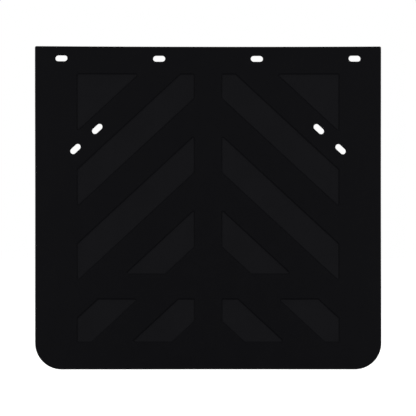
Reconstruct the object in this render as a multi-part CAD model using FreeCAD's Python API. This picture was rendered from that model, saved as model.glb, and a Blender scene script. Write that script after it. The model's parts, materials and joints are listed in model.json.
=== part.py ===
# Rubber mud flap for a truck or trailer wheel pair, 600 mm wide and 560 mm tall.
#
# The flap is one moulded rubber sheet. Its front face carries a raised rib network: a border, an
# upright spine, a cross rib and sloping ribs that climb towards the spine. The areas between the
# ribs are shallow pockets. A row of four slots along the top takes the hanger's bolts, and two
# pairs of sloping slots near the shoulders take side braces. The back face is flat.
#
# Rubber bends, and a rigid solid can't. So the sheet is divided into horizontal bands, and each
# band meets the next along a flex line: a half-round tongue on the upper band sits in a socket on
# the lower one, and both are centred on the line, which lies midway through the sheet.
#
# Frame: X runs across the flap, Z is up, and the front face looks towards -Y. The origin is on the
# flat back face, midway along the row of top slots. A "depth" is a distance below the top edge.
# Lengths are in millimetres.
import FreeCAD, Part
import math
import os

Vector = FreeCAD.Vector

# The sheet
WIDTH = 600.0
HEIGHT = 560.0
THICKNESS = 10.0
TOP_CORNER_RADIUS = 3.0
BOTTOM_CORNER_RADIUS = 46.0
EDGE_ROUND = 1.5

# The slots, all for M10 bolts. A brace pair is placed by its midpoint.
SLOT_LENGTH = 21.0
SLOT_WIDTH = 10.5
TOP_SLOT_COUNT = 4
TOP_SLOT_DEPTH = 21.0
TOP_SLOT_INSET = 46.0
BRACE_SLOT_X = 211.0
BRACE_SLOT_DEPTH = 160.5
BRACE_SLOT_PITCH = 51.5

# The ribs and the pockets between them, measured at the level of the pocket floors. The sloping
# pockets are stripes of one pattern, numbered downwards. The lower side of stripe 0 meets the spine
# at STRIPE_START_DEPTH. WALL_RUN is how far a pocket's wall leans out on its way to the face.
RIB_WIDTH = 50.0
SLOTTED_RIB_WIDTH = 51.0
POCKET_WIDTH = 44.5
RIB_ANGLE = 42.8
BORDER_TOP = 49.0
BORDER_SIDE = 74.5
BORDER_BOTTOM = 49.0
CROSS_RIB_TOP = 393.0
CROSS_RIB_BOTTOM = 439.0
STRIPE_START_DEPTH = 89.0
POCKET_DEPTH = 3.0
WALL_RUN = 2.5
POCKET_CORNER_RADIUS = 1.0

# The flex lines, by depth. They pass clear of the slots and of the cross rib. LIP_GAP keeps the rim
# of each socket below its flex line, so that the band above can turn over it.
FLEX_DEPTHS = [60.0, 124.0, 196.0, 260.0, 324.0, 387.0, 451.0]
TONGUE_CLEARANCE = 0.1
LIP_GAP = 1.6
BAND_NAMES = [
    "clamp_band",
    "shoulder_band",
    "brace_slot_band",
    "upper_chevron_band",
    "middle_chevron_band",
    "lower_chevron_band",
    "cross_rib_band",
    "hem_band",
]

# Worked out from the sizes above
HALF_WIDTH = WIDTH / 2
HALF_SPINE = RIB_WIDTH / 2
FRONT_Y = -THICKNESS
MID_Y = -THICKNESS / 2
FLOOR_Y = FRONT_Y + POCKET_DEPTH
POCKET_OUTER_X = HALF_WIDTH - BORDER_SIDE
POCKET_BOTTOM = HEIGHT - BORDER_BOTTOM
SLOPE = math.tan(math.radians(RIB_ANGLE))
COS_RIB_ANGLE = math.cos(math.radians(RIB_ANGLE))
SIN_RIB_ANGLE = math.sin(math.radians(RIB_ANGLE))
STRIPE_PITCH = (RIB_WIDTH + POCKET_WIDTH) / COS_RIB_ANGLE
STRIPE_HEIGHT = POCKET_WIDTH / COS_RIB_ANGLE
CUT_MARGIN = 1.0


def height_of(depth):
    """The Z of a distance below the top edge."""
    return TOP_SLOT_DEPTH - depth


def rounded_wire(corners, radii, y):
    """A closed wire in the plane Y = y through convex (x, z) corners, each rounded by its radius."""
    points = [Vector(x, y, z) for x, z in corners]
    count = len(points)
    starts, middles, ends = [], [], []
    for i, corner in enumerate(points):
        to_last = (points[i - 1] - corner).normalize()
        to_next = (points[(i + 1) % count] - corner).normalize()
        half_angle = to_last.getAngle(to_next) / 2
        reach = radii[i] / math.tan(half_angle)
        inwards = (to_last + to_next).normalize()
        centre = corner + inwards * (radii[i] / math.sin(half_angle))
        starts.append(corner + to_last * reach)
        middles.append(centre - inwards * radii[i])
        ends.append(corner + to_next * reach)
    edges = []
    for i in range(count):
        edges.append(Part.Arc(starts[i], middles[i], ends[i]).toShape())
        edges.append(Part.makeLine(ends[i], starts[(i + 1) % count]))
    return Part.Wire(edges)


def grown(corners, distance):
    """A convex polygon with every side moved outwards by a distance. The corners run clockwise."""
    lines = []
    for i, (x0, z0) in enumerate(corners):
        x1, z1 = corners[(i + 1) % len(corners)]
        length = math.hypot(x1 - x0, z1 - z0)
        normal = ((z0 - z1) / length, (x1 - x0) / length)
        lines.append((normal, normal[0] * x0 + normal[1] * z0 + distance))
    moved = []
    for i, (n1, c1) in enumerate(lines):
        n0, c0 = lines[i - 1]
        det = n0[0] * n1[1] - n0[1] * n1[0]
        moved.append(((c0 * n1[1] - c1 * n0[1]) / det, (n0[0] * c1 - n1[0] * c0) / det))
    return moved


def sheet():
    """The plain sheet, its outer edges rounded on both faces."""
    top, bottom = height_of(0), height_of(HEIGHT)
    corners = [(-HALF_WIDTH, top), (HALF_WIDTH, top), (HALF_WIDTH, bottom), (-HALF_WIDTH, bottom)]
    radii = [TOP_CORNER_RADIUS, TOP_CORNER_RADIUS, BOTTOM_CORNER_RADIUS, BOTTOM_CORNER_RADIUS]
    slab = Part.Face(rounded_wire(corners, radii, 0)).extrude(Vector(0, FRONT_Y, 0))
    rims = [edge for edge in slab.Edges if edge.BoundBox.YLength < EDGE_ROUND]
    return slab.makeFillet(EDGE_ROUND, rims)


def slot(x, depth, angle):
    """A cutter for one slot, its length turned from X by an angle about Y."""
    reach = (SLOT_LENGTH - SLOT_WIDTH) / 2
    radius = SLOT_WIDTH / 2
    front = FRONT_Y - CUT_MARGIN
    through = THICKNESS + 2 * CUT_MARGIN
    cutter = Part.makeBox(2 * reach, through, 2 * radius, Vector(-reach, front, -radius))
    for end in (-reach, reach):
        round_end = Part.makeCylinder(radius, through, Vector(end, front, 0), Vector(0, 1, 0))
        cutter = cutter.fuse(round_end)
    cutter = cutter.removeSplitter()
    cutter.rotate(Vector(0, 0, 0), Vector(0, 1, 0), angle)
    cutter.translate(Vector(x, 0, height_of(depth)))
    return cutter


def slots():
    """Cutters for the four top slots and the four brace slots, which lie along the slotted ribs."""
    first = HALF_WIDTH - TOP_SLOT_INSET
    pitch = 2 * first / (TOP_SLOT_COUNT - 1)
    cutters = [slot(-first + i * pitch, TOP_SLOT_DEPTH, 0) for i in range(TOP_SLOT_COUNT)]
    half = BRACE_SLOT_PITCH / 2
    step_x = half * COS_RIB_ANGLE
    step_depth = half * SIN_RIB_ANGLE
    for side in (-1, 1):
        for end in (-1, 1):
            x = side * (BRACE_SLOT_X + end * step_x)
            depth = BRACE_SLOT_DEPTH + end * step_depth
            cutters.append(slot(x, depth, side * RIB_ANGLE))
    return cutters


def clipped(corners, keep):
    """A convex polygon cut by a straight line. keep(x, z) is positive on the side that stays."""
    kept = []
    for i, start in enumerate(corners):
        end = corners[(i + 1) % len(corners)]
        a, b = keep(*start), keep(*end)
        if a >= 0:
            kept.append(start)
        if a * b < 0:
            share = a / (a - b)
            kept.append(tuple(s + (e - s) * share for s, e in zip(start, end)))
    return kept


def pocket_outline(stripe, top_depth, bottom_depth):
    """The floor outline of a right-hand pocket: its sloping stripe, cut to a window of depths."""
    lower = STRIPE_START_DEPTH + stripe * STRIPE_PITCH
    upper = lower - STRIPE_HEIGHT
    inner, outer = HALF_SPINE, POCKET_OUTER_X
    top, bottom = height_of(top_depth), height_of(bottom_depth)
    window = [(inner, top), (outer, top), (outer, bottom), (inner, bottom)]

    def below_upper_side(x, z):
        return height_of(upper + (x - inner) * SLOPE) - z

    def above_lower_side(x, z):
        return z - height_of(lower + (x - inner) * SLOPE)

    return clipped(clipped(window, below_upper_side), above_lower_side)


def corner_outline():
    """The floor outline of the right-hand pocket over the slotted rib: a triangle."""
    lower = STRIPE_START_DEPTH - STRIPE_HEIGHT - SLOTTED_RIB_WIDTH / COS_RIB_ANGLE
    start_x = HALF_SPINE + (BORDER_TOP - lower) / SLOPE
    end_depth = lower + (POCKET_OUTER_X - HALF_SPINE) * SLOPE
    top = height_of(BORDER_TOP)
    return [(start_x, top), (POCKET_OUTER_X, top), (POCKET_OUTER_X, height_of(end_depth))]


def pocket(outline):
    """A cutter for one pocket, whose walls lean outwards from the floor to the front face."""
    past = POCKET_DEPTH + CUT_MARGIN
    spread = WALL_RUN * past / POCKET_DEPTH
    wires = []
    for y, growth in ((FLOOR_Y, 0), (FLOOR_Y - past, spread)):
        corners = grown(outline, growth)
        wires.append(rounded_wire(corners, [POCKET_CORNER_RADIUS + growth] * len(corners), y))
    return Part.makeLoft(wires, True, True)


def pockets():
    """Cutters for the pockets of both halves."""
    outlines = [
        corner_outline(),
        pocket_outline(0, BORDER_TOP, CROSS_RIB_TOP),
        pocket_outline(1, BORDER_TOP, CROSS_RIB_BOTTOM),
        pocket_outline(2, BORDER_TOP, CROSS_RIB_TOP),
        pocket_outline(2, CROSS_RIB_BOTTOM, POCKET_BOTTOM),
        pocket_outline(3, CROSS_RIB_BOTTOM, POCKET_BOTTOM),
    ]
    right = [pocket(outline) for outline in outlines]
    left = [cutter.mirror(Vector(0, 0, 0), Vector(1, 0, 0)) for cutter in right]
    return right + left


def rod(z, radius):
    """A rod across the whole sheet, on the flex line at height z."""
    start = Vector(-HALF_WIDTH - CUT_MARGIN, MID_Y, z)
    return Part.makeCylinder(radius, WIDTH + 2 * CUT_MARGIN, start, Vector(1, 0, 0))


def band_space(index):
    """The space that one band fills: a slab, its tongue below and its socket above."""
    last = len(FLEX_DEPTHS)
    top = height_of(-CUT_MARGIN) if index == 0 else height_of(FLEX_DEPTHS[index - 1]) - LIP_GAP
    bottom = height_of(HEIGHT + CUT_MARGIN) if index == last else height_of(FLEX_DEPTHS[index])
    corner = Vector(-HALF_WIDTH - CUT_MARGIN, FRONT_Y - CUT_MARGIN, bottom)
    space = Part.makeBox(WIDTH + 2 * CUT_MARGIN, THICKNESS + 2 * CUT_MARGIN, top - bottom, corner)
    if index < last:
        space = space.fuse(rod(bottom, THICKNESS / 2))
    if index > 0:
        space = space.cut(rod(height_of(FLEX_DEPTHS[index - 1]), THICKNESS / 2 + TONGUE_CLEARANCE))
    return space


def main():
    os.makedirs("parts", exist_ok=True)
    flap = sheet().cut(slots() + pockets())
    for index, name in enumerate(BAND_NAMES):
        band = flap.common(band_space(index))
        solids = band.Solids
        if len(solids) != 1 or not solids[0].isValid():
            raise RuntimeError(f"{name} should be one valid solid, and is {len(solids)}")
        solids[0].exportStep(f"parts/{name}.step")


main()
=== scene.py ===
"""The looks of a moulded rubber mud flap.

The CAD model is a chain of rigid bands. The real flap is one sheet of rubber, so this script builds
the sheet's whole surface as one closed skin and cuts it across the middle of each inner band. Every
length between two cuts bends across one hinge, so a seam always lies where the sheet stays straight,
and both of its sides have the same section and the same normals.

A loop is a closed outline in the (x, z) plane: its points, counterclockwise as seen from the front,
and the outward direction at each point. A ring is a loop moved outwards by an offset and set at a y.
Lengths are in metres, and MM turns millimetres into them.
"""

import json
import math

import bmesh
import bpy
import numpy as np
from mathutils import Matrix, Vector, kdtree
from mathutils.geometry import delaunay_2d_cdt

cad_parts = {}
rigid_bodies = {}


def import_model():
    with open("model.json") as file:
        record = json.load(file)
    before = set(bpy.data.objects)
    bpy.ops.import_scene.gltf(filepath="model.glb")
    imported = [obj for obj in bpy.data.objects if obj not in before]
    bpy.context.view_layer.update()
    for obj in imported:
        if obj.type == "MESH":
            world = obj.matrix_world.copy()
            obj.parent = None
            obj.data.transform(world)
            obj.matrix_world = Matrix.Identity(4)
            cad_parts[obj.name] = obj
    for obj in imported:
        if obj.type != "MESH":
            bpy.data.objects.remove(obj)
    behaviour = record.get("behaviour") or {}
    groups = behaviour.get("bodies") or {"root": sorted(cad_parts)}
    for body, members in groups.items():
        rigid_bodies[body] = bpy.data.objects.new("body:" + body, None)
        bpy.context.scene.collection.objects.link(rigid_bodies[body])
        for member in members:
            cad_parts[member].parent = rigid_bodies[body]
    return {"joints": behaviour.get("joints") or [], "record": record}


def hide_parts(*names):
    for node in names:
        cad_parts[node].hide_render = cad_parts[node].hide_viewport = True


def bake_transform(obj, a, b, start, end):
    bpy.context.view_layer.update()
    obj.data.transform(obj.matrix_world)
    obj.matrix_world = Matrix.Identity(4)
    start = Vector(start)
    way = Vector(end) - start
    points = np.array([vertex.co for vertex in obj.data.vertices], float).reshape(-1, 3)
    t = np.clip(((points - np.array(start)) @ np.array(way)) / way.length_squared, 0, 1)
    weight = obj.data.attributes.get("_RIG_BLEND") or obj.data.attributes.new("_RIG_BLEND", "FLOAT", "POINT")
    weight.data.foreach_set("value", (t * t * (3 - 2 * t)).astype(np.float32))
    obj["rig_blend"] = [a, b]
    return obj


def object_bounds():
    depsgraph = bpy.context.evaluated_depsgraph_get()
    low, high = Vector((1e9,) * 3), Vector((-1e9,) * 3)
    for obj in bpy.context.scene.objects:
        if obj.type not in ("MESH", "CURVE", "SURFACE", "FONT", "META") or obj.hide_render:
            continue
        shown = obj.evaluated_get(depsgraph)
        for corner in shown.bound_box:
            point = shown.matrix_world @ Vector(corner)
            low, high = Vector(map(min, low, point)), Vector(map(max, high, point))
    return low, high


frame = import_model()
cad_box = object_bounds()

MM = 0.001
FULL_TURN = 2 * math.pi

# The sheet, as the frame has it. The patterned front looks towards -Y.
LOW, HIGH = cad_box
HALF_WIDTH = HIGH.x
TOP, BOTTOM = HIGH.z, LOW.z
HEIGHT = TOP - BOTTOM
FRONT, BACK = LOW.y, HIGH.y
MIDDLE = (FRONT + BACK) / 2
TOP_CORNER_RADIUS = 3 * MM
BOTTOM_CORNER_RADIUS = 46 * MM

# The ribs and pockets, measured at the level of the pocket floors. Depths run down from the top edge.
RIB_WIDTH = 50 * MM
SLOTTED_RIB_WIDTH = 51 * MM
POCKET_WIDTH = 44.5 * MM
RIB_ANGLE = math.radians(42.8)
BORDER_TOP = 49 * MM
BORDER_SIDE = 74.5 * MM
BORDER_BOTTOM = 49 * MM
CROSS_RIB_TOP = 393 * MM
CROSS_RIB_BOTTOM = 439 * MM
STRIPE_START_DEPTH = 89 * MM
POCKET_DEPTH = 3 * MM
WALL_RUN = 2.5 * MM
POCKET_CORNER_RADIUS = 1 * MM
BRACE_SLOT_PITCH = 51.5 * MM

# How finely the surface is divided. Rounds up to SMALL_RADIUS may turn further between two points.
EDGE_STEP = 4 * MM
SLOT_STEP = 1.2 * MM
FLAT_STEP = 8 * MM
FLAT_CLEARANCE = 0.6 * FLAT_STEP
ARC_TURN = math.radians(15)
SMALL_RADIUS = 0.3 * MM
SMALL_ARC_TURN = math.radians(45)

# Points within JOIN_DISTANCE of each other are one point, and a region of a flat area holds no
# rubber if all its triangles are smaller than SLIVER_AREA
JOIN_DISTANCE = 1e-9
SLIVER_AREA = 0.005 * MM * MM


def rounded(corners, radii):
    """A convex outline, counterclockwise, as (centre, radius, start angle, sweep) for each corner."""
    corners = np.array(corners)
    sides = np.roll(corners, -1, axis=0) - corners
    normals = np.column_stack((sides[:, 1], -sides[:, 0])) / np.hypot(*sides.T)[:, None]
    arcs = []
    for corner, radius, before, after in zip(corners, radii, np.roll(normals, 1, axis=0), normals):
        centre = corner - (before + after) * radius / (1 + before @ after)
        start = math.atan2(before[1], before[0])
        sweep = (math.atan2(after[1], after[0]) - start) % FULL_TURN
        arcs.append((centre, radius, start, sweep))
    return arcs


def loop(arcs, step):
    """The loop along an outline's arcs and the straight sides that join them."""
    points, outward = [], []
    for (centre, radius, start, sweep), following in zip(arcs, arcs[1:] + arcs[:1]):
        count = max(math.ceil(sweep / ARC_TURN), math.ceil(sweep * radius / step))
        angles = start + sweep * np.arange(count + 1) / count
        turned = np.column_stack((np.cos(angles), np.sin(angles)))
        points.extend(centre + radius * turned)
        outward.extend(turned)
        side = following[0] + following[1] * turned[-1] - points[-1]
        pieces = math.ceil(np.hypot(*side) / step)
        for i in range(1, pieces):
            points.append(centre + radius * turned[-1] + side * i / pieces)
            outward.append(turned[-1])
    return np.array(points), np.array(outward)


def sheet_loop():
    corners = [(-HALF_WIDTH, BOTTOM), (HALF_WIDTH, BOTTOM), (HALF_WIDTH, TOP), (-HALF_WIDTH, TOP)]
    radii = [BOTTOM_CORNER_RADIUS] * 2 + [TOP_CORNER_RADIUS] * 2
    return loop(rounded(corners, radii), EDGE_STEP)


def slot_loop(x, z, slant, length, width):
    """A slot with round ends, its length at a slant from X."""
    along = (length - width) / 2 * np.array((math.cos(slant), math.sin(slant)))
    centre = np.array((x, z))
    arcs = []
    for end in (1, -1):
        start = slant - end * math.pi / 2
        arcs.append((centre + end * along, width / 2, start, math.pi))
    return loop(arcs, SLOT_STEP)


def slot_loops():
    """The four level slots and the two slanted pairs, placed by the record's mounts."""
    mounts = {mount["name"]: mount for mount in frame["record"]["mounts"]}
    loops = []

    def add(mount, x, z, slant):
        length = mount["dims"]["slot_length_mm"] * MM
        width = 2 * mount["dims"]["hole_r_mm"] * MM
        loops.append(slot_loop(x, z, slant, length, width))

    for name in ("top_slots_outer", "top_slots_inner"):
        mount = mounts[name]
        for side in (-1, 1):
            reach = side * mount["dims"]["spacing_x_mm"] * MM / 2
            add(mount, mount["pos_m"][0] + reach, mount["pos_m"][2], 0.0)
    for name, side in (("brace_slots_left", -1), ("brace_slots_right", 1)):
        mount = mounts[name]
        for end in (-1, 1):
            reach = end * BRACE_SLOT_PITCH / 2
            x = mount["pos_m"][0] + side * reach * math.cos(RIB_ANGLE)
            z = mount["pos_m"][2] - reach * math.sin(RIB_ANGLE)
            add(mount, x, z, -side * RIB_ANGLE)
    return loops


def clipped(corners, keep):
    """A convex polygon cut by a straight line. keep(x, z) is positive on the side that stays."""
    kept = []
    for start, end in zip(corners, corners[1:] + corners[:1]):
        a, b = keep(*start), keep(*end)
        if a >= 0:
            kept.append(start)
        if a * b < 0:
            share = a / (a - b)
            kept.append(tuple(s + (e - s) * share for s, e in zip(start, end)))
    return kept


def pocket_corners():
    """The corners of the twelve pocket floors, counterclockwise."""
    inner, outer = RIB_WIDTH / 2, HALF_WIDTH - BORDER_SIDE
    slope = math.tan(RIB_ANGLE)
    stripe_height = POCKET_WIDTH / math.cos(RIB_ANGLE)
    stripe_pitch = (POCKET_WIDTH + RIB_WIDTH) / math.cos(RIB_ANGLE)
    first_upper = STRIPE_START_DEPTH - stripe_height

    def stripe(number, top_depth, bottom_depth):
        """The right-hand stripe of that number, cut to a window of depths."""
        upper = first_upper + number * stripe_pitch
        lower = upper + stripe_height
        top, bottom = TOP - top_depth, TOP - bottom_depth
        window = [(inner, bottom), (outer, bottom), (outer, top), (inner, top)]
        kept = clipped(window, lambda x, z: TOP - upper - (x - inner) * slope - z)
        return clipped(kept, lambda x, z: z - TOP + lower + (x - inner) * slope)

    corner_lower = first_upper - SLOTTED_RIB_WIDTH / math.cos(RIB_ANGLE)
    corner_start = inner + (BORDER_TOP - corner_lower) / slope
    corner_end = TOP - corner_lower - (outer - inner) * slope
    right = [
        [(corner_start, TOP - BORDER_TOP), (outer, corner_end), (outer, TOP - BORDER_TOP)],
        stripe(0, BORDER_TOP, CROSS_RIB_TOP),
        stripe(1, BORDER_TOP, CROSS_RIB_BOTTOM),
        stripe(2, BORDER_TOP, CROSS_RIB_TOP),
        stripe(2, CROSS_RIB_BOTTOM, HEIGHT - BORDER_BOTTOM),
        stripe(3, CROSS_RIB_BOTTOM, HEIGHT - BORDER_BOTTOM),
    ]
    left = [[(-x, z) for x, z in reversed(corners)] for corners in right]
    return right + left


def profile(corners):
    """A line of (offset, y, bulge) through (offset, y, radius) corners, rounded where they say so.

    A hollow corner has a negative radius. Bulge is 1 in the middle of a convex round, 0 elsewhere.
    """
    line = [(*corners[0][:2], 0.0)]
    for before, (*corner, radius), after in zip(corners, corners[1:], corners[2:]):
        corner = np.array(corner)
        back = np.array(before[:2]) - corner
        ahead = np.array(after[:2]) - corner
        back /= np.hypot(*back)
        ahead /= np.hypot(*ahead)
        half = math.acos(back @ ahead) / 2
        turn = math.pi - 2 * half
        middle = (back + ahead) / np.hypot(*(back + ahead)) * abs(radius) / math.sin(half)
        reach = abs(radius) / math.tan(half)
        first, last = back * reach - middle, ahead * reach - middle
        step = ARC_TURN if abs(radius) > SMALL_RADIUS else SMALL_ARC_TURN
        for share in np.linspace(0, 1, math.ceil(turn / step) + 1):
            spoke = math.sin((1 - share) * turn) * first + math.sin(share * turn) * last
            bulge = 1 - abs(2 * share - 1) if radius > 0 else 0.0
            line.append((*(corner + middle + spoke / math.sin(turn)), bulge))
    line.append((*corners[-1][:2], 0.0))
    return line


# Sections through the sheet's rim, a slot and a pocket's wall, as profile() takes them. The first
# and last points lie on flat rubber, a little past the round, and keep its shading off the flat.
# The rim leans out towards the back, where a mould line runs round it. A slot is narrowest midway.
RIM_LEAN = 0.4 * MM
RIM_ROUND = 1.6 * MM
MOULD_LINE = 0.25 * MM
RIM = [
    (-RIM_LEAN - 2.2 * MM, FRONT, 0),
    (-RIM_LEAN, FRONT, RIM_ROUND),
    (0, BACK - 1.1 * MM, -0.2 * MM),
    (MOULD_LINE, BACK - 0.8 * MM, 0.15 * MM),
    (MOULD_LINE, BACK - 0.2 * MM, 0.1 * MM),
    (-0.2 * MM, BACK, 0.1 * MM),
    (-1.2 * MM, BACK, 0),
]
SLOT_DRAFT = 0.1 * MM
SLOT_WALL = [
    (1.5 * MM, FRONT, 0),
    (SLOT_DRAFT, FRONT, 0.5 * MM),
    (0, MIDDLE, 20 * MM),
    (SLOT_DRAFT, BACK, 0.3 * MM),
    (1.4 * MM, BACK, 0),
]
POCKET_ROUND = 0.8 * MM
POCKET_WALL = [
    (-0.5 * MM, FRONT + POCKET_DEPTH, 0),
    (0, FRONT + POCKET_DEPTH, -POCKET_ROUND),
    (WALL_RUN, FRONT, POCKET_ROUND),
    (WALL_RUN + 1.2 * MM, FRONT, 0),
]


class Skin:
    """The surface's points and faces, and two values for each point that the rubber reads.

    sunk is 0 on the ribs and 1 on a pocket's floor, and worn is 1 along an edge that stands proud.
    """

    def __init__(self):
        self.points = []
        self.sunk = []
        self.worn = []
        self.faces = []

    def add(self, flat_points, y, sunk, worn):
        """New points at one y. Returns their numbers."""
        first = len(self.points)
        self.points.extend((x, y, z) for x, z in flat_points)
        self.sunk.extend([sunk] * len(flat_points))
        self.worn.extend([worn] * len(flat_points))
        return np.arange(first, len(self.points))

    def wall(self, base, section, pocket=False):
        """Rings for a section swept round a loop. Returns the numbers of the first and last ring."""
        points, outward = base
        rings = []
        for offset, y, bulge in profile(section):
            sunk = (y - FRONT) / POCKET_DEPTH if pocket else 0.0
            rings.append(self.add(points + outward * offset, y, sunk, bulge))
        for ring, following in zip(rings, rings[1:]):
            self.faces.extend(zip(ring, np.roll(ring, -1), np.roll(following, -1), following))
        return rings[0], rings[-1]

    def flat(self, rings, sunk=0.0):
        """Covers the flat area inside the first ring and outside the others."""
        y = self.points[rings[0][0]][1]
        loops = [np.array([self.points[i] for i in ring])[:, [0, 2]] for ring in rings]
        inner = self.add(grid_points(loops), y, sunk, 0.0)
        numbers = np.concatenate(rings + [inner])
        corners = np.array([self.points[i] for i in numbers])[:, [0, 2]]
        self.faces.extend(numbers[triangle] for triangle in filled(corners, loops))


def filled(points, loops):
    """Triangles, as numbers of points, over the area inside the first loop and outside the others.

    The points are the loops' own, in order, and then any others that lie in the area.
    """
    edges, start = [], 0
    for corners in loops:
        count = len(corners)
        edges.extend((start + i, start + (i + 1) % count) for i in range(count))
        start += count
    places, walls, triangles, point_sources, wall_sources, _ = delaunay_2d_cdt(
        [Vector(point) for point in points], edges, [], 0, JOIN_DISTANCE, True
    )
    places, triangles = np.array(places), np.array(triangles)
    walls = [wall for wall, source in zip(walls, wall_sources) if source]
    numbers = np.array([source[0] for source in point_sources])
    inside = []
    for region in regions(triangles, walls):
        corner, second, third = (places[triangles[region, i]] for i in range(3))
        areas = np.abs(np.cross(second - corner, third - corner)) / 2
        widest = triangles[region[np.argmax(areas)]]
        if areas.max() < SLIVER_AREA:
            continue
        if in_area(places[widest].mean(axis=0)[None], loops)[0]:
            inside.extend(numbers[triangles[n]] for n in region)
    return inside


def regions(triangles, walls):
    """The triangles' numbers, grouped into the regions that the wall edges divide them into."""
    by_edge = {}
    for number, triangle in enumerate(triangles):
        for a, b in zip(triangle, np.roll(triangle, -1)):
            by_edge.setdefault(frozenset((int(a), int(b))), []).append(number)
    for a, b in walls:
        by_edge[frozenset((a, b))] = []
    unvisited = set(range(len(triangles)))
    found = []
    while unvisited:
        waiting, region = [unvisited.pop()], []
        while waiting:
            number = waiting.pop()
            region.append(number)
            triangle = triangles[number]
            for a, b in zip(triangle, np.roll(triangle, -1)):
                for other in by_edge[frozenset((int(a), int(b)))]:
                    if other in unvisited:
                        unvisited.remove(other)
                        waiting.append(other)
        found.append(np.array(region))
    return found


def in_area(points, loops):
    """Whether each point lies inside the first loop and outside the others, by counting crossings."""
    crossings = np.zeros(len(points), int)
    for corners in loops:
        for (x0, z0), (x1, z1) in zip(corners, np.roll(corners, -1, axis=0)):
            if z0 == z1:
                continue
            spans = (points[:, 1] < z0) != (points[:, 1] < z1)
            meets = x0 + (points[:, 1] - z0) * (x1 - x0) / (z1 - z0)
            crossings += spans & (points[:, 0] < meets)
    return crossings % 2 == 1


def grid_points(loops):
    """Evenly spaced points over the area between loops, clear of the loops' own points."""
    every = np.concatenate(loops)
    tree = kdtree.KDTree(len(every))
    for number, (x, z) in enumerate(every):
        tree.insert((x, z, 0), number)
    tree.balance()
    low, high = loops[0].min(axis=0), loops[0].max(axis=0)
    columns = np.arange(math.ceil(low[0] / FLAT_STEP), high[0] / FLAT_STEP) * FLAT_STEP
    rows = np.arange(math.ceil(low[1] / FLAT_STEP), high[1] / FLAT_STEP) * FLAT_STEP
    grid = np.array([(x, z) for z in rows for x in columns]).reshape(-1, 2)
    grid = grid[in_area(grid, loops)]
    clear = [tree.find((x, z, 0))[2] > FLAT_CLEARANCE for x, z in grid]
    return grid[np.array(clear, bool)]


def build_skin():
    """The whole surface of the sheet, in true flat shape."""
    skin = Skin()
    front_rim, back_rim = skin.wall(sheet_loop(), RIM)
    front_rings, back_rings = [front_rim], [back_rim]
    for base in slot_loops():
        front, back = skin.wall(base, SLOT_WALL)
        front_rings.append(front)
        back_rings.append(back)
    for corners in pocket_corners():
        base = loop(rounded(corners, [POCKET_CORNER_RADIUS] * len(corners)), EDGE_STEP)
        floor, face = skin.wall(base, POCKET_WALL, pocket=True)
        skin.flat([floor], sunk=1.0)
        front_rings.append(face)
    skin.flat(front_rings)
    skin.flat(back_rings)
    return skin


# How far real moulded rubber strays from the true flat shape. The top edge's ends stand higher than
# its middle, the left end more so, and all of it hangs a little low. The hem drifts to the right, and
# both ends of the sheet flare from its waist. Two waves, growing towards the hem, take the sheet out
# of its plane. The back sinks behind ribs, where the rubber is thick, over SINK_REACH from a pocket.
ARCH = 0.9 * MM
TILT = 0.35 * MM
SAG = 0.3 * MM
DRIFT = 0.5 * MM
FLARE = 0.3 * MM
LONG_WAVE = 0.8 * MM
SHORT_WAVE = 0.5 * MM
SINK = 0.3 * MM
SINK_REACH = 12 * MM


def relaxed(points):
    """The true flat shape moved to where rubber really lies: edges a little bent, the sheet wavy."""
    x, y, z = np.array(points).T
    across = x / HALF_WIDTH
    down = np.maximum(TOP - z, 0) / HEIGHT
    rise = (ARCH * across**2 - TILT * across - SAG) * (1 - down)
    shift = DRIFT * down**2 + FLARE * across * np.cos(math.pi * down) ** 2
    long_wave = LONG_WAVE * np.sin(2.4 * across + 0.6)
    short_wave = SHORT_WAVE * np.cos(5.1 * across * down)
    sway = (long_wave + short_wave) * down**1.5
    sink = SINK * over_ribs(x, z) * (y - FRONT) / (BACK - FRONT)
    return np.column_stack((x + shift, y + sway - sink, z + rise))


def over_ribs(x, z):
    """1 behind the middle of a rib or a border and 0 behind a pocket, with a soft step between."""
    nearest = np.full(len(x), np.inf)
    for corners in pocket_corners():
        corners = np.array(corners)
        sides = np.roll(corners, -1, axis=0) - corners
        normals = np.column_stack((sides[:, 1], -sides[:, 0])) / np.hypot(*sides.T)[:, None]
        beyond = [(x - c[0]) * n[0] + (z - c[1]) * n[1] for c, n in zip(corners, normals)]
        nearest = np.minimum(nearest, np.max(beyond, axis=0))
    share = np.clip(nearest / SINK_REACH, 0, 1)
    return share * share * (3 - 2 * share)


# Points this close to a seam count as on it, and edges shorter than MIN_EDGE close up
SEAM_SNAP = 0.02 * MM
MIN_EDGE = 0.005 * MM


def skin_mesh(skin, seams):
    """The relaxed skin as a bmesh, with an edge loop along every seam."""
    bm = bmesh.new()
    sunk_layer = bm.verts.layers.float.new("sunk")
    worn_layer = bm.verts.layers.float.new("worn")
    for place, sunk, worn in zip(relaxed(skin.points), skin.sunk, skin.worn):
        vertex = bm.verts.new(place)
        vertex[sunk_layer] = sunk
        vertex[worn_layer] = worn
    bm.verts.ensure_lookup_table()
    for face in skin.faces:
        bm.faces.new([bm.verts[i] for i in face])
    bmesh.ops.recalc_face_normals(bm, faces=bm.faces[:])
    for seam in seams:
        everything = bm.verts[:] + bm.edges[:] + bm.faces[:]
        bmesh.ops.bisect_plane(
            bm, geom=everything, dist=SEAM_SNAP, plane_co=(0, 0, seam), plane_no=(0, 0, 1)
        )
    bmesh.ops.dissolve_degenerate(bm, dist=MIN_EDGE, edges=bm.edges[:])
    bm.normal_update()
    return bm


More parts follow.
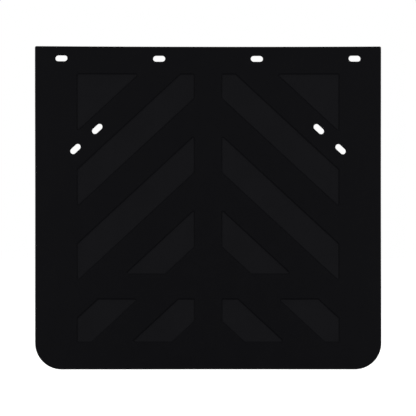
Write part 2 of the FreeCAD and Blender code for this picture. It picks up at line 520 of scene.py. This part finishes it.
def cut_length(bm, upper, lower, name):
    """The closed piece of the skin between two heights, its ends capped where it was cut."""
    faces = [face for face in bm.faces if lower < face.calc_center_median().z < upper]
    numbers = {}
    for face in faces:
        for vertex in face.verts:
            numbers.setdefault(vertex, len(numbers))
    mesh = bpy.data.meshes.new(name)
    mesh.from_pydata(
        [vertex.co for vertex in numbers],
        [],
        [[numbers[vertex] for vertex in face.verts] for face in faces],
    )
    for layer in ("sunk", "worn"):
        source = bm.verts.layers.float[layer]
        values = [vertex[source] for vertex in numbers]
        mesh.attributes.new(layer, "FLOAT", "POINT").data.foreach_set("value", values)
    flat = [value for vertex in numbers for value in vertex.co]
    mesh.attributes.new("rest_co", "FLOAT_VECTOR", "POINT").data.foreach_set("vector", flat)
    cap_ends(mesh)
    give_normals(mesh, [vertex.normal for vertex in numbers])
    return mesh


def cap_ends(mesh):
    """Closes the mesh with a flat cap at each cut, and shades everything but the caps smooth."""
    piece = bmesh.new()
    piece.from_mesh(mesh)
    for face in piece.faces:
        face.smooth = True
    open_edges = [edge for edge in piece.edges if edge.is_boundary]
    for cap in bmesh.ops.holes_fill(piece, edges=open_edges, sides=0)["faces"]:
        rim = list(cap.verts)
        section = np.array([vertex.co.xy for vertex in rim])
        piece.faces.remove(cap)
        for triangle in filled(section, [section]):
            piece.faces.new([rim[i] for i in triangle])
    bmesh.ops.recalc_face_normals(piece, faces=piece.faces[:])
    piece.to_mesh(mesh)
    piece.free()


def give_normals(mesh, normals):
    """Gives smooth faces the whole skin's normals, so that seams don't show. Caps keep their own."""
    corner_normals = []
    for polygon in mesh.polygons:
        for number in polygon.vertices:
            corner_normals.append(normals[number] if polygon.use_smooth else polygon.normal)
    mesh.normals_split_custom_set(corner_normals)


class Nodes:
    """The shader nodes of a material or a world, with short calls for the kinds used here."""

    # A Mix node has inputs and outputs for every kind of data. These are the ones of each kind.
    MIX_INPUTS = {"FLOAT": (2, 3), "RGBA": (6, 7)}
    MIX_OUTPUT = {"FLOAT": 0, "RGBA": 2}

    def __init__(self, owner):
        owner.use_nodes = True
        self.tree = owner.node_tree
        self.tree.nodes.clear()

    def feed(self, socket, value):
        """Sets an input to a value, or links it to another node's output."""
        if isinstance(value, bpy.types.NodeSocket):
            self.tree.links.new(value, socket)
        else:
            socket.default_value = value

    def add(self, kind, settings=None, **inputs):
        """A node with its settings and inputs.

        The names _0, _1 and so on stand for an input's number. In other names, _ stands for a space.
        """
        node = self.tree.nodes.new(kind)
        for name, value in (settings or {}).items():
            setattr(node, name, value)
        for name, value in inputs.items():
            key = int(name[1:]) if name[0] == "_" else name.replace("_", " ")
            self.feed(node.inputs[key], value)
        return node

    def attribute(self, name, output):
        """A value that the mesh holds for each of its points."""
        return self.add("ShaderNodeAttribute", {"attribute_name": name}).outputs[output]

    def remap(self, value, low, high, to_low=0.0, to_high=1.0):
        """Turns low into to_low and high into to_high, evenly between them and held beyond them."""
        inputs = {"From_Min": low, "From_Max": high, "To_Min": to_low, "To_Max": to_high}
        return self.add("ShaderNodeMapRange", Value=value, **inputs).outputs[0]

    def clouds(self, place, scale, detail, roughness=0.5, low=0.0, high=1.0):
        """Cloudy noise, its values from low to high stretched to 0 to 1."""
        inputs = {"Vector": place, "Scale": scale, "Detail": detail, "Roughness": roughness}
        noise = self.add("ShaderNodeTexNoise", **inputs).outputs["Fac"]
        return self.remap(noise, low, high)

    def mix(self, share, first, second, kind="FLOAT"):
        """The first where share is 0 and the second where it is 1."""
        node = self.add("ShaderNodeMix", {"data_type": kind}, Factor=share)
        for number, value in zip(self.MIX_INPUTS[kind], (first, second)):
            self.feed(node.inputs[number], value)
        return node.outputs[self.MIX_OUTPUT[kind]]

    def tint(self, share, colour, other):
        """A colour with a share of another one over it."""
        return self.mix(share, colour, other, "RGBA")

    def sum(self, a, b):
        return self.add("ShaderNodeMath", {"operation": "ADD"}, _0=a, _1=b).outputs[0]

    def product(self, a, b):
        return self.add("ShaderNodeMath", {"operation": "MULTIPLY"}, _0=a, _1=b).outputs[0]

    def bump(self, height, distance, strength, **inputs):
        """The normal of a surface that a height between 0 and 1 lifts by up to a distance."""
        inputs.update(Height=height, Distance=distance, Strength=strength)
        return self.add("ShaderNodeBump", **inputs).outputs["Normal"]


# The rubber: smooth ribs, duller pocket floors, patches a little darker or dusted with bloom, and painted
# shade in the hollows of its fine relief
RIB_COLOUR = (0.0221, 0.0221, 0.0265, 1)
POCKET_COLOUR = (0.0354, 0.0354, 0.0410, 1)
PIT_SHADE_COLOUR = (0.0110, 0.0110, 0.0140, 1)
MOTTLE_COLOUR = (0.0190, 0.0190, 0.0228, 1)
BLOOM_COLOUR = (0.0320, 0.0320, 0.0360, 1)
WORN_COLOUR = (0.0280, 0.0280, 0.0330, 1)
RIB_ROUGHNESS = 0.48
POCKET_ROUGHNESS = 0.70
SPECULAR = 0.1

# The share of each colour that goes over the ones before it, where it is strongest
MOTTLE_SHARE = 0.20
FRONT_BLOOM_SHARE = 0.10
BACK_BLOOM_SHARE = 0.45
PIT_SHADE_SHARE = 0.35
LEAST_WORN_SHARE = 0.2
WORN_SHARE = 0.8

# The cloudy textures. A scale is the number of patches to a metre.
MOTTLE = {"scale": 14, "detail": 4, "low": 0.3, "high": 0.7}
BLOOM = {"scale": 45, "detail": 6, "roughness": 0.65, "low": 0.45, "high": 0.75}
WEAR = {"scale": 220, "detail": 3, "low": 0.35, "high": 0.65}
GRAIN = {"scale": 900, "detail": 3, "low": 0.3, "high": 0.7}
UNEVEN = {"scale": 30, "detail": 2}

# The dimples of the pocket floors, and two heights of the relief: below the first, painted shade starts to
# darken a hollow, and below the second it is full
STIPPLE_SCALE = 550
STIPPLE_CONTRAST = 1.6
PIT_SHADE_EDGE, PIT_SHADE_BOTTOM = 0.5, 0.2

# How deep the relief goes, how strongly it shows, and what bloom does to the roughness
GRAIN_DEPTH = 0.1 * MM
UNEVEN_DEPTH = 0.6 * MM
RIB_GRAIN = 0.5
POCKET_GRAIN = 1.0
UNEVENNESS = 0.5
BARE_SHIFT, BLOOM_SHIFT = -0.04, 0.06


def rubber():
    """Matt black moulded rubber: satin ribs, stippled pocket floors, edges rubbed a little paler."""
    material = bpy.data.materials.new("moulded_rubber")
    nodes = Nodes(material)
    place = nodes.attribute("rest_co", "Vector")
    sunk = nodes.attribute("sunk", "Fac")
    bloom = nodes.clouds(place, **BLOOM)
    relief = rubber_relief(nodes, place, sunk)
    roughness = nodes.mix(sunk, RIB_ROUGHNESS, POCKET_ROUGHNESS)
    shader = nodes.add(
        "ShaderNodeBsdfPrincipled",
        Base_Color=rubber_colour(nodes, place, sunk, bloom, relief),
        Roughness=nodes.sum(roughness, nodes.remap(bloom, 0, 1, BARE_SHIFT, BLOOM_SHIFT)),
        Normal=rubber_normal(nodes, place, sunk, relief),
        Specular_IOR_Level=SPECULAR,
    )
    nodes.add("ShaderNodeOutputMaterial", Surface=shader.outputs[0])
    return material


def rubber_relief(nodes, place, sunk):
    """Heights from 0 up: a fine grain on the ribs, and small dimples on the pocket floors."""
    dimples = nodes.add("ShaderNodeTexVoronoi", Vector=place, Scale=STIPPLE_SCALE)
    stipple = nodes.product(dimples.outputs["Distance"], STIPPLE_CONTRAST)
    return nodes.mix(sunk, nodes.clouds(place, **GRAIN), stipple)


def rubber_colour(nodes, place, sunk, bloom, relief):
    """The colours, laid over each other: ribs or pockets, mottle, bloom, painted shade in the relief's low
    spots, and worn edges.
    """
    y = nodes.add("ShaderNodeSeparateXYZ", Vector=place).outputs["Y"]
    bloom_share = nodes.mix(nodes.remap(y, MIDDLE, BACK), FRONT_BLOOM_SHARE, BACK_BLOOM_SHARE)
    worn_share = nodes.mix(nodes.clouds(place, **WEAR), LEAST_WORN_SHARE, WORN_SHARE)
    # Painted shade: where the fine relief is low, in the grain's valleys and the dimples' hollows, the
    # colour darkens as if shade fell there.
    pit_shade = nodes.remap(relief, PIT_SHADE_EDGE, PIT_SHADE_BOTTOM)
    worn = nodes.attribute("worn", "Fac")

    colour = nodes.tint(sunk, RIB_COLOUR, POCKET_COLOUR)
    mottle = nodes.clouds(place, **MOTTLE)
    colour = nodes.tint(nodes.product(mottle, MOTTLE_SHARE), colour, MOTTLE_COLOUR)
    colour = nodes.tint(nodes.product(bloom, bloom_share), colour, BLOOM_COLOUR)
    # Painted shade darkens the low spots of the relief.
    colour = nodes.tint(nodes.product(pit_shade, PIT_SHADE_SHARE), colour, PIT_SHADE_COLOUR)
    return nodes.tint(nodes.product(worn, worn_share), colour, WORN_COLOUR)


def rubber_normal(nodes, place, sunk, relief):
    """The fine relief, over a surface that is slightly uneven."""
    fine = nodes.bump(relief, GRAIN_DEPTH, nodes.mix(sunk, RIB_GRAIN, POCKET_GRAIN))
    return nodes.bump(nodes.clouds(place, **UNEVEN), UNEVEN_DEPTH, UNEVENNESS, Normal=fine)


def dress_flap():
    """Builds the skin, and lets each of its lengths follow the two bands that it joins."""
    joints = frame["joints"]
    flex_heights = [joint["pos_m"][2] for joint in joints]
    seams = [(a + b) / 2 for a, b in zip(flex_heights, flex_heights[1:])]
    bm = skin_mesh(build_skin(), seams)
    material = rubber()
    ends = [math.inf] + seams + [-math.inf]
    bodies = frame["record"]["behaviour"]["bodies"]
    for joint, flex, upper, lower in zip(joints, flex_heights, ends, ends[1:]):
        name = f"rubber_skin_{joint['child']}"
        mesh = cut_length(bm, upper, lower, name)
        mesh.materials.append(material)
        piece = bpy.data.objects.new(name, mesh)
        bpy.context.scene.collection.objects.link(piece)
        reach = min(abs(seam - flex) for seam in seams)
        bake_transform(piece, joint["parent"], joint["child"], (0, 0, flex + reach), (0, 0, flex - reach))
        nodes = bodies[joint["child"]] + (bodies[joint["parent"]] if upper > TOP else [])
        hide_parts(*nodes)
    bm.free()


# The studio. Two low lights ahead of the flap pick out its upright walls, and a weak one lights its
# face. A broad one overhead lights the floor and the upper walls. One beside each edge shows the
# sheet's thickness, and two behind rake its back. Each has a place, a size and a power in watts.
CENTRE = (LOW + HIGH) / 2
LIGHTS = [
    ("front_left_soft", (-1.8, -2.3, -0.31), (1.0, 0.5), 7.5),
    ("front_right_soft", (1.8, -2.3, -0.31), (1.0, 0.5), 7.5),
    ("front_soft", (0, -2.8, 1.0), (1.2, 0.5), 1.7),
    ("top_soft", (0, -1.8, 3.8), (3.0, 1.2), 2.6),
    ("left_edge", (-2.4, 0.35, 0.3), (0.8, 1.2), 14),
    ("right_edge", (2.4, 0.35, 0.3), (0.8, 1.2), 14),
    ("back_right_soft", (1.9, 1.3, 0.6), (0.9, 1.2), 22),
    ("back_left_soft", (-1.4, 1.9, 0.9), (1.2, 1.2), 8),
]
ROOM_GLOW = 0.05

# The floor lies a little below the hem. To the camera it glows, more so past FLOOR_FAR from the
# origin than within FLOOR_NEAR, and to the rubber it is a dim plain grey.
FLOOR_GAP = 45 * MM
FLOOR_HALF_SIZE = 8.0
FLOOR_NEAR, FLOOR_FAR = 0.6, 2.5
FLOOR_GLOW = 0.93
FAR_FLOOR_GLOW = 1.01
SEEN_GREY = (0.5, 0.5, 0.5, 1)
DIM_GREY = (0.1, 0.1, 0.1, 1)


def studio():
    """Soft lights in a pale room, over a pale floor."""
    bpy.context.scene.view_settings.view_transform = "Standard"
    bpy.context.scene.world = room()
    for name, place, size, power in LIGHTS:
        area_light(name, place, size, power)
    floor = bpy.data.objects.new("floor", floor_mesh())
    bpy.context.scene.collection.objects.link(floor)


def room():
    """A world that is white to the camera and dim to the rubber."""
    world = bpy.data.worlds.new("studio")
    nodes = Nodes(world)
    seen = nodes.add("ShaderNodeLightPath").outputs["Is Camera Ray"]
    strength = nodes.remap(seen, 0, 1, ROOM_GLOW, 1.0)
    background = nodes.add("ShaderNodeBackground", Color=(1, 1, 1, 1), Strength=strength)
    nodes.add("ShaderNodeOutputWorld", Surface=background.outputs[0])
    return world


def area_light(name, place, size, power):
    """A soft light that the camera doesn't see, facing the middle of the flap."""
    data = bpy.data.lights.new(name, "AREA")
    data.shape = "RECTANGLE"
    data.size, data.size_y = size
    data.energy = power
    light = bpy.data.objects.new(name, data)
    light.location = place
    light.rotation_mode = "QUATERNION"
    light.rotation_quaternion = (CENTRE - Vector(place)).to_track_quat("-Z", "Y")
    light.visible_camera = False
    bpy.context.scene.collection.objects.link(light)


def floor_mesh():
    reach = FLOOR_HALF_SIZE
    z = BOTTOM - FLOOR_GAP
    corners = [(-reach, -reach, z), (reach, -reach, z), (reach, reach, z), (-reach, reach, z)]
    mesh = bpy.data.meshes.new("floor")
    mesh.from_pydata(corners, [], [(0, 1, 2, 3)])
    mesh.materials.append(floor_material())
    return mesh


def floor_material():
    """A pale floor that the camera sees shaded from above and sees through from below."""
    material = bpy.data.materials.new("pale_floor")
    nodes = Nodes(material)
    place = nodes.add("ShaderNodeNewGeometry")
    measure = {"operation": "LENGTH"}
    distance = nodes.add("ShaderNodeVectorMath", measure, Vector=place.outputs["Position"])
    strength = nodes.remap(
        distance.outputs["Value"], FLOOR_NEAR, FLOOR_FAR, FLOOR_GLOW, FAR_FLOOR_GLOW
    )
    lit = nodes.add("ShaderNodeBsdfDiffuse", Color=SEEN_GREY).outputs[0]
    glow = nodes.add("ShaderNodeEmission", Strength=strength).outputs[0]
    shown = nodes.add("ShaderNodeAddShader", _0=lit, _1=glow).outputs[0]
    dim = nodes.add("ShaderNodeBsdfDiffuse", Color=DIM_GREY).outputs[0]
    seen = nodes.add("ShaderNodeLightPath").outputs["Is Camera Ray"]
    above = nodes.add("ShaderNodeMixShader", _0=seen, _1=dim, _2=shown).outputs[0]
    clear = nodes.add("ShaderNodeBsdfTransparent").outputs[0]
    below = place.outputs["Backfacing"]
    both = nodes.add("ShaderNodeMixShader", _0=below, _1=above, _2=clear).outputs[0]
    nodes.add("ShaderNodeOutputMaterial", Surface=both)
    return material


# The camera stands well back and looks square on. The flap takes up this share of the frame's width.
CAMERA_DISTANCE = 3.0
FLAP_SHARE = 0.8327
FRAME_WIDTH = 2 * HALF_WIDTH / FLAP_SHARE


def camera():
    data = bpy.data.cameras.new("camera")
    data.lens = data.sensor_width * CAMERA_DISTANCE / FRAME_WIDTH
    view = bpy.data.objects.new("camera", data)
    view.location = (CENTRE.x, FRONT - CAMERA_DISTANCE, CENTRE.z)
    view.rotation_euler = (math.pi / 2, 0, 0)
    bpy.context.scene.collection.objects.link(view)
    bpy.context.scene.camera = view


dress_flap()
studio()
camera()
